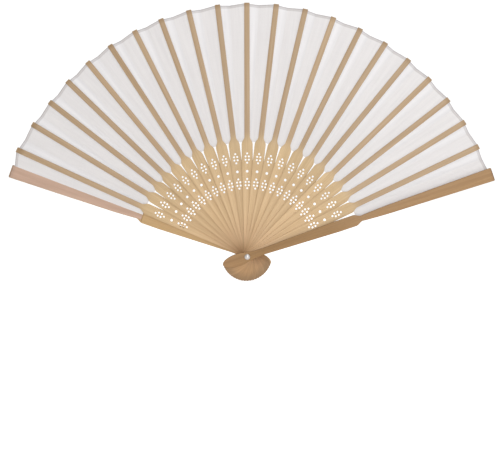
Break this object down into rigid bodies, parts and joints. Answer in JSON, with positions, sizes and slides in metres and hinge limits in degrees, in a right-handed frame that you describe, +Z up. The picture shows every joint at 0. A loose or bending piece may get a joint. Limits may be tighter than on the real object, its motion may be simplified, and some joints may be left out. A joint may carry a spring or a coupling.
{
  "type": "folding hand fan",
  "caption": "Folding hand fan: pierced wooden sticks and two guards turn on one rivet and carry a pleated white silk leaf that opens to about 142 degrees.",
  "frame": {"origin": "on the rivet's axis, in the middle of the middle stick", "axes": "+Z up the middle stick, +X to the right seen from the front, +Y along the rivet towards the back guard"},
  "size_m": [0.3716, 0.0235, 0.2128],
  "materials": {
    "guard_wood": "smooth sanded, thin oil",
    "stick_wood": "smooth sanded, unvarnished",
    "silk": "fine plain-weave silk, soft sheen",
    "rivet_metal": "polished"
  },
  "bodies": {
    "stick_11": {"stick_11": "stick_wood", "pleat_11": "silk", "rivet": "rivet_metal", "rivet_washer": "rivet_metal"},
    "stick_01": {"stick_01": "stick_wood", "pleat_01": "silk"},
    "stick_02": {"stick_02": "stick_wood", "pleat_02": "silk"},
    "stick_03": {"stick_03": "stick_wood", "pleat_03": "silk"},
    "stick_04": {"stick_04": "stick_wood", "pleat_04": "silk"},
    "stick_05": {"stick_05": "stick_wood", "pleat_05": "silk"},
    "stick_06": {"stick_06": "stick_wood", "pleat_06": "silk"},
    "stick_07": {"stick_07": "stick_wood", "pleat_07": "silk"},
    "stick_08": {"stick_08": "stick_wood", "pleat_08": "silk"},
    "stick_09": {"stick_09": "stick_wood", "pleat_09": "silk"},
    "stick_10": {"stick_10": "stick_wood", "pleat_10": "silk"},
    "stick_12": {"stick_12": "stick_wood", "pleat_12": "silk"},
    "stick_13": {"stick_13": "stick_wood", "pleat_13": "silk"},
    "stick_14": {"stick_14": "stick_wood", "pleat_14": "silk"},
    "stick_15": {"stick_15": "stick_wood", "pleat_15": "silk"},
    "stick_16": {"stick_16": "stick_wood", "pleat_16": "silk"},
    "stick_17": {"stick_17": "stick_wood", "pleat_17": "silk"},
    "stick_18": {"stick_18": "stick_wood", "pleat_18": "silk"},
    "stick_19": {"stick_19": "stick_wood", "pleat_19": "silk"},
    "stick_20": {"stick_20": "stick_wood", "pleat_20": "silk"},
    "stick_21": {"stick_21": "stick_wood", "pleat_21": "silk"},
    "guard_back": {"guard_back": "guard_wood", "pleat_00": "silk"},
    "guard_front": {"guard_front": "guard_wood", "pleat_22": "silk"}
  },
  "joints": [
    {"name": "fold_12", "type": "hinge", "parent": "stick_11", "child": "stick_12", "pos_m": [0, 0, 0], "axis": [0, -1, 0], "range_deg": [0, 6.7]},
    {"name": "fold_13", "type": "hinge", "parent": "stick_12", "child": "stick_13", "pos_m": [0, 0, 0], "axis": [0, -1, 0], "range_deg": [0, 6.68]},
    {"name": "fold_14", "type": "hinge", "parent": "stick_13", "child": "stick_14", "pos_m": [0, 0, 0], "axis": [0, -1, 0], "range_deg": [0, 6.64]},
    {"name": "fold_15", "type": "hinge", "parent": "stick_14", "child": "stick_15", "pos_m": [0, 0, 0], "axis": [0, -1, 0], "range_deg": [0, 6.57]},
    {"name": "fold_16", "type": "hinge", "parent": "stick_15", "child": "stick_16", "pos_m": [0, 0, 0], "axis": [0, -1, 0], "range_deg": [0, 6.5]},
    {"name": "fold_17", "type": "hinge", "parent": "stick_16", "child": "stick_17", "pos_m": [0, 0, 0], "axis": [0, -1, 0], "range_deg": [0, 6.43]},
    {"name": "fold_18", "type": "hinge", "parent": "stick_17", "child": "stick_18", "pos_m": [0, 0, 0], "axis": [0, -1, 0], "range_deg": [0, 6.36]},
    {"name": "fold_19", "type": "hinge", "parent": "stick_18", "child": "stick_19", "pos_m": [0, 0, 0], "axis": [0, -1, 0], "range_deg": [0, 6.29]},
    {"name": "fold_20", "type": "hinge", "parent": "stick_19", "child": "stick_20", "pos_m": [0, 0, 0], "axis": [0, -1, 0], "range_deg": [0, 6.25]},
    {"name": "fold_21", "type": "hinge", "parent": "stick_20", "child": "stick_21", "pos_m": [0, 0, 0], "axis": [0, -1, 0], "range_deg": [0, 6.23]},
    {"name": "fold_guard_front", "type": "hinge", "parent": "stick_21", "child": "guard_front", "pos_m": [0, 0, 0], "axis": [0, -1, 0], "range_deg": [0, 6.85]},
    {"name": "fold_10", "type": "hinge", "parent": "stick_11", "child": "stick_10", "pos_m": [0, 0, 0], "axis": [0, 1, 0], "range_deg": [0, 6.7]},
    {"name": "fold_09", "type": "hinge", "parent": "stick_10", "child": "stick_09", "pos_m": [0, 0, 0], "axis": [0, 1, 0], "range_deg": [0, 6.68]},
    {"name": "fold_08", "type": "hinge", "parent": "stick_09", "child": "stick_08", "pos_m": [0, 0, 0], "axis": [0, 1, 0], "range_deg": [0, 6.64]},
    {"name": "fold_07", "type": "hinge", "parent": "stick_08", "child": "stick_07", "pos_m": [0, 0, 0], "axis": [0, 1, 0], "range_deg": [0, 6.57]},
    {"name": "fold_06", "type": "hinge", "parent": "stick_07", "child": "stick_06", "pos_m": [0, 0, 0], "axis": [0, 1, 0], "range_deg": [0, 6.5]},
    {"name": "fold_05", "type": "hinge", "parent": "stick_06", "child": "stick_05", "pos_m": [0, 0, 0], "axis": [0, 1, 0], "range_deg": [0, 6.43]},
    {"name": "fold_04", "type": "hinge", "parent": "stick_05", "child": "stick_04", "pos_m": [0, 0, 0], "axis": [0, 1, 0], "range_deg": [0, 6.36]},
    {"name": "fold_03", "type": "hinge", "parent": "stick_04", "child": "stick_03", "pos_m": [0, 0, 0], "axis": [0, 1, 0], "range_deg": [0, 6.29]},
    {"name": "fold_02", "type": "hinge", "parent": "stick_03", "child": "stick_02", "pos_m": [0, 0, 0], "axis": [0, 1, 0], "range_deg": [0, 6.43]},
    {"name": "fold_01", "type": "hinge", "parent": "stick_02", "child": "stick_01", "pos_m": [0, 0, 0], "axis": [0, 1, 0], "range_deg": [0, 6.75]},
    {"name": "fold_guard_back", "type": "hinge", "parent": "stick_01", "child": "guard_back", "pos_m": [0, 0, 0], "axis": [0, 1, 0], "range_deg": [0, 5.07]}
  ],
  "couplings": [
    {"joint": "fold_13", "follows": "fold_12", "ratio": 0.9965},
    {"joint": "fold_14", "follows": "fold_12", "ratio": 0.9899},
    {"joint": "fold_15", "follows": "fold_12", "ratio": 0.9808},
    {"joint": "fold_16", "follows": "fold_12", "ratio": 0.9701},
    {"joint": "fold_17", "follows": "fold_12", "ratio": 0.9588},
    {"joint": "fold_18", "follows": "fold_12", "ratio": 0.9481},
    {"joint": "fold_19", "follows": "fold_12", "ratio": 0.9391},
    {"joint": "fold_20", "follows": "fold_12", "ratio": 0.9324},
    {"joint": "fold_21", "follows": "fold_12", "ratio": 0.929},
    {"joint": "fold_guard_front", "follows": "fold_12", "ratio": 1.0219},
    {"joint": "fold_10", "follows": "fold_12", "ratio": 1},
    {"joint": "fold_09", "follows": "fold_12", "ratio": 0.9965},
    {"joint": "fold_08", "follows": "fold_12", "ratio": 0.9899},
    {"joint": "fold_07", "follows": "fold_12", "ratio": 0.9808},
    {"joint": "fold_06", "follows": "fold_12", "ratio": 0.9701},
    {"joint": "fold_05", "follows": "fold_12", "ratio": 0.9588},
    {"joint": "fold_04", "follows": "fold_12", "ratio": 0.9481},
    {"joint": "fold_03", "follows": "fold_12", "ratio": 0.9391},
    {"joint": "fold_02", "follows": "fold_12", "ratio": 0.9585},
    {"joint": "fold_01", "follows": "fold_12", "ratio": 1.0073},
    {"joint": "fold_guard_back", "follows": "fold_12", "ratio": 0.7563}
  ]
}
